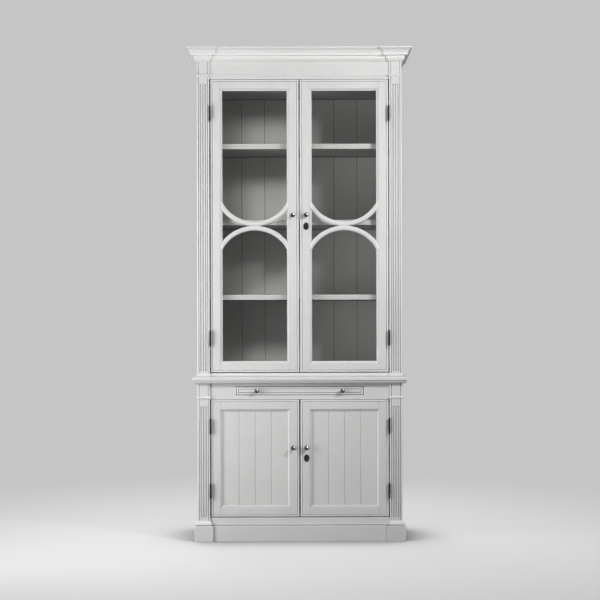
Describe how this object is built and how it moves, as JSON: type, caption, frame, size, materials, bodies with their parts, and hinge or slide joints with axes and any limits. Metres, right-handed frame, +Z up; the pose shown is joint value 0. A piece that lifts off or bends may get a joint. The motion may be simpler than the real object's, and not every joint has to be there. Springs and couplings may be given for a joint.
{
  "type": "china cabinet",
  "caption": "Tall painted two-stage china cabinet: glazed doors with curved bars over shelves, a pull-out serving slide and panelled cupboard doors below.",
  "frame": {"origin": "on the floor, under the middle of the box that holds the cornice", "axes": "+Z up, the front with the doors faces -Y, +X to the right as seen from the front"},
  "size_m": [1.088, 0.482, 2.389],
  "materials": {
    "painted_wood": "satin off-white paint",
    "glass": "clear",
    "dark_pewter": "dark pewter",
    "black_iron": "black satin",
    "steel": "plain"
  },
  "bodies": {
    "carcass": {"base_rail": "painted_wood", "case_hinge_leaves": "black_iron", "ceiling_board": "painted_wood", "cornice_top_board": "painted_wood", "counter_bed": "painted_wood", "counter_top": "painted_wood", "crown_bed_moulding": "painted_wood", "crown_cove_moulding": "painted_wood", "dust_board": "painted_wood", "frieze_astragal": "painted_wood", "frieze_board": "painted_wood", "hinge_pins": "black_iron", "hutch_base_moulding": "painted_wood", "hutch_floor": "painted_wood", "low_shelf": "painted_wood", "lower_back_panel": "painted_wood", "lower_floor_board": "painted_wood", "lower_left_side": "painted_wood", "lower_pilaster_mouldings": "painted_wood", "lower_pilasters": "painted_wood", "lower_right_side": "painted_wood", "lower_shelf": "painted_wood", "middle_shelf": "painted_wood", "plinth_blocks": "painted_wood", "plinth_boards": "painted_wood", "shelf_pins": "steel", "slide_rail": "painted_wood", "slide_runners": "painted_wood", "top_shelf": "painted_wood", "upper_back_panel": "painted_wood", "upper_left_side": "painted_wood", "upper_pilasters": "painted_wood", "upper_right_side": "painted_wood"},
    "upper_left_door": {"upper_left_door_frame": "painted_wood", "upper_left_door_glass": "glass", "upper_left_door_glazing_bars": "painted_wood", "upper_left_door_hinge_leaves": "black_iron", "upper_left_door_knob": "dark_pewter"},
    "upper_right_door": {"upper_right_door_escutcheon": "black_iron", "upper_right_door_frame": "painted_wood", "upper_right_door_glass": "glass", "upper_right_door_glazing_bars": "painted_wood", "upper_right_door_hinge_leaves": "black_iron", "upper_right_door_knob": "dark_pewter", "upper_right_door_lock_case": "steel"},
    "lower_left_door": {"lower_left_door_frame": "painted_wood", "lower_left_door_hinge_leaves": "black_iron", "lower_left_door_knob": "dark_pewter", "lower_left_door_panel": "painted_wood"},
    "lower_right_door": {"lower_right_door_escutcheon": "black_iron", "lower_right_door_frame": "painted_wood", "lower_right_door_hinge_leaves": "black_iron", "lower_right_door_knob": "dark_pewter", "lower_right_door_lock_case": "steel", "lower_right_door_panel": "painted_wood"},
    "serving_slide": {"slide_board": "painted_wood", "slide_front": "painted_wood", "slide_knobs": "dark_pewter"},
    "upper_lock_bolt": {"upper_right_door_lock_bolt": "steel"},
    "lower_lock_bolt": {"lower_right_door_lock_bolt": "steel"}
  },
  "joints": [
    {"name": "upper_left_door_hinge", "type": "hinge", "parent": "carcass", "child": "upper_left_door", "pos_m": [-0.433, -0.1975, 1.527], "axis": [0, 0, -1], "range_deg": [0, 105]},
    {"name": "upper_right_door_hinge", "type": "hinge", "parent": "carcass", "child": "upper_right_door", "pos_m": [0.433, -0.1975, 1.527], "axis": [0, 0, 1], "range_deg": [0, 105]},
    {"name": "lower_left_door_hinge", "type": "hinge", "parent": "carcass", "child": "lower_left_door", "pos_m": [-0.433, -0.1975, 0.404], "axis": [0, 0, -1], "range_deg": [0, 105]},
    {"name": "lower_right_door_hinge", "type": "hinge", "parent": "carcass", "child": "lower_right_door", "pos_m": [0.433, -0.1975, 0.404], "axis": [0, 0, 1], "range_deg": [0, 105]},
    {"name": "serving_slide_travel", "type": "slide", "parent": "carcass", "child": "serving_slide", "axis": [0, -1, 0], "range_m": [0, 0.25]},
    {"name": "upper_lock_bolt_throw", "type": "slide", "parent": "upper_right_door", "child": "upper_lock_bolt", "axis": [-1, 0, 0], "range_m": [0, 0.014]},
    {"name": "lower_lock_bolt_throw", "type": "slide", "parent": "lower_right_door", "child": "lower_lock_bolt", "axis": [-1, 0, 0], "range_m": [0, 0.014]}
  ]
}
